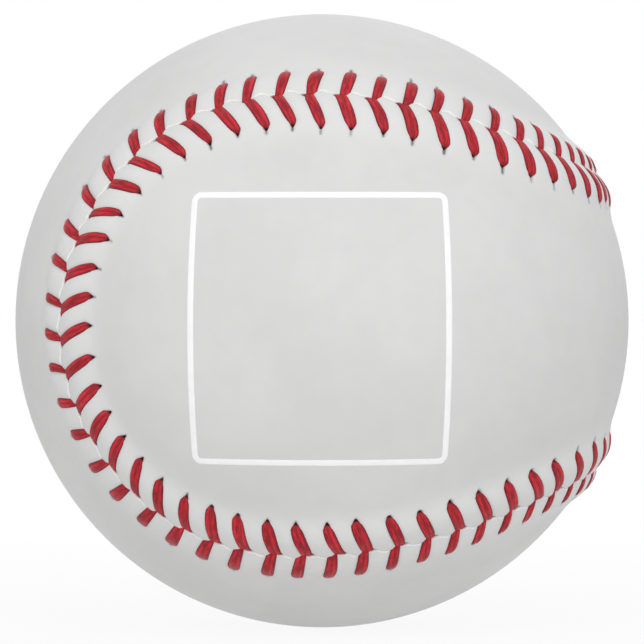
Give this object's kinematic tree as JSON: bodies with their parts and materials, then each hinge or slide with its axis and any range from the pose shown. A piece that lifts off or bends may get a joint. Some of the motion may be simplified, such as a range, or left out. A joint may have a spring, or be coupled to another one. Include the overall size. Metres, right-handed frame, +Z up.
{
  "type": "stitched softball",
  "caption": "Round leather-covered ball for bat-and-ball games: a wound core in figure-eight covers, laced together along a raised seam with red thread.",
  "frame": {"origin": "centre of the ball", "axes": "+Z up as the ball lies, +X through the middle of the front cover's waist, -Y through the middle of its broad lobe, which is the side the picture shows"},
  "size_m": [0.097, 0.0966, 0.0966],
  "materials": {
    "core": "cork granules in rubber, matte",
    "inner_yarn": "coarse wound wool yarn",
    "outer_yarn": "fine wound cotton yarn",
    "latex": "dried latex cement, satin",
    "cover_leather": "smooth tanned leather, soft satin, off-white",
    "lace_thread": "waxed twisted thread, soft sheen"
  },
  "bodies": {
    "root": {"core": "core", "inner_winding": "inner_yarn", "outer_winding": "outer_yarn", "latex_coat": "latex", "front_cover": "cover_leather", "back_cover": "cover_leather", "first_thread": "lace_thread", "second_thread": "lace_thread"}
  },
  "joints": []
}
